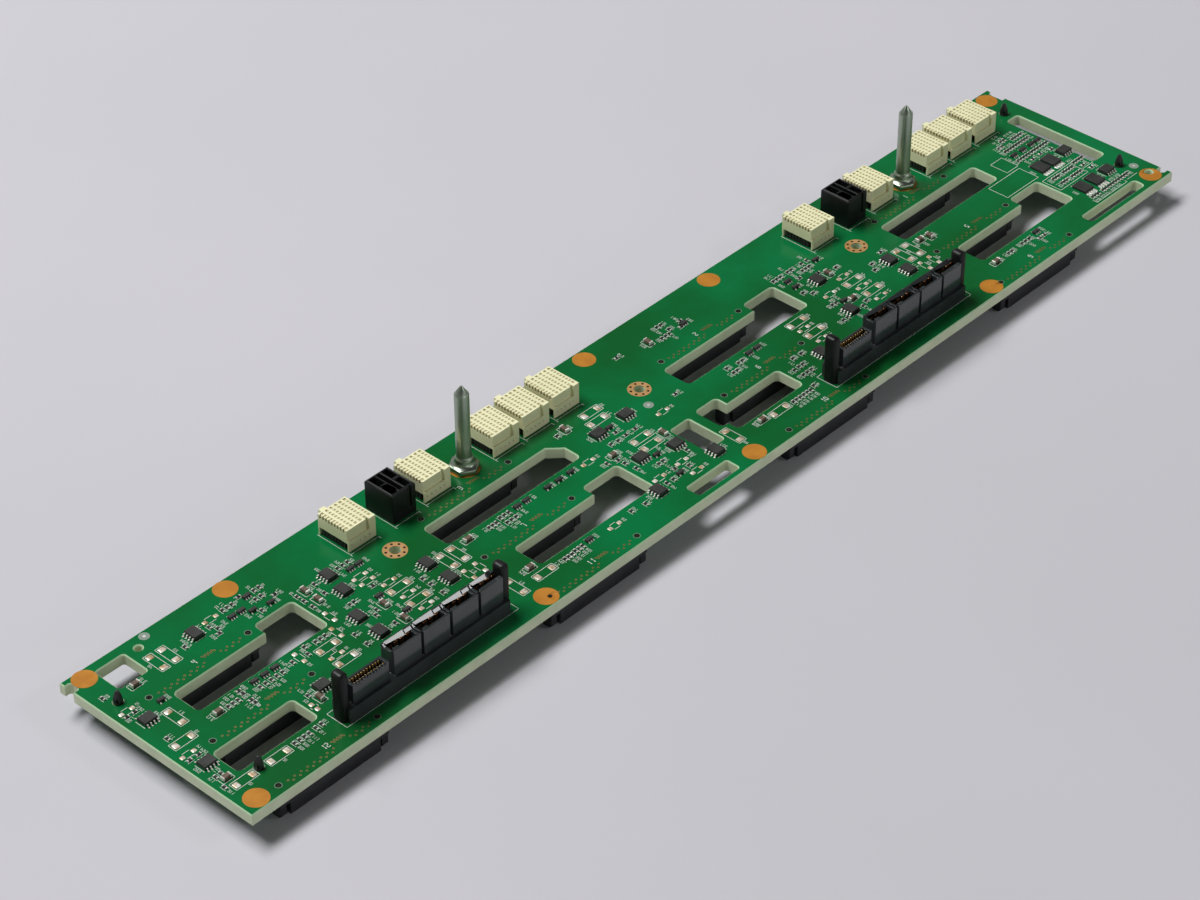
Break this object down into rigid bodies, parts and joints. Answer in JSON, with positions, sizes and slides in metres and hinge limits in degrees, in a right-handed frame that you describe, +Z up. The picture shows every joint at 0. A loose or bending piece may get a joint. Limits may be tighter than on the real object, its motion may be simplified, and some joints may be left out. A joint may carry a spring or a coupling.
{
  "type": "drive backplane board",
  "caption": "Long circuit board with drive sockets underneath and mating headers, guide pins and supply sockets on top; joins drive bays to controllers and power in a server.",
  "frame": {"origin": "under the middle of the board, on the plane of the drive sockets' mating faces, on which it lies", "axes": "+X along the board, +Y from the edge with the supply sockets to the edge with the headers, +Z up out of the side with the headers"},
  "size_m": [0.4434, 0.0826, 0.0428],
  "materials": {
    "solder_mask_green": "semi-gloss solder mask over laminate",
    "socket_plastic": "fine moulded matt",
    "header_cream": "moulded satin",
    "housing_black": "moulded satin",
    "pin_steel": "turned and zinc plated",
    "contact_gold": "gold plated",
    "contact_copper": "bare copper alloy",
    "post_nylon": "moulded matt",
    "chip_black": "moulded matt epoxy",
    "ceramic_brown": "fired, matt",
    "array_black": "coated, matt"
  },
  "bodies": {
    "root": {"circuit_board": "solder_mask_green", "drive_socket_1": "socket_plastic", "drive_socket_2": "socket_plastic", "drive_socket_3": "socket_plastic", "drive_socket_4": "socket_plastic", "drive_socket_5": "socket_plastic", "drive_socket_6": "socket_plastic", "drive_socket_7": "socket_plastic", "drive_socket_8": "socket_plastic", "drive_socket_9": "socket_plastic", "drive_socket_10": "socket_plastic", "drive_socket_11": "socket_plastic", "drive_socket_12": "socket_plastic", "signal_header_a1": "header_cream", "signal_header_a2": "header_cream", "signal_header_a3": "header_cream", "signal_header_a4": "header_cream", "signal_header_a5": "header_cream", "signal_header_b1": "header_cream", "signal_header_b2": "header_cream", "signal_header_b3": "header_cream", "signal_header_b4": "header_cream", "signal_header_b5": "header_cream", "power_header_a": "housing_black", "power_header_b": "housing_black", "guide_pin_a": "pin_steel", "guide_pin_b": "pin_steel", "guide_pin_nuts": "pin_steel", "supply_socket_1": "housing_black", "supply_signal_contacts_1": "contact_gold", "supply_power_contacts_1": "contact_copper", "supply_socket_2": "housing_black", "supply_signal_contacts_2": "contact_gold", "supply_power_contacts_2": "contact_copper", "snap_posts": "post_nylon", "driver_chips": "chip_black", "power_chips": "chip_black", "ceramic_capacitors": "ceramic_brown", "resistor_arrays": "array_black"}
  },
  "joints": []
}
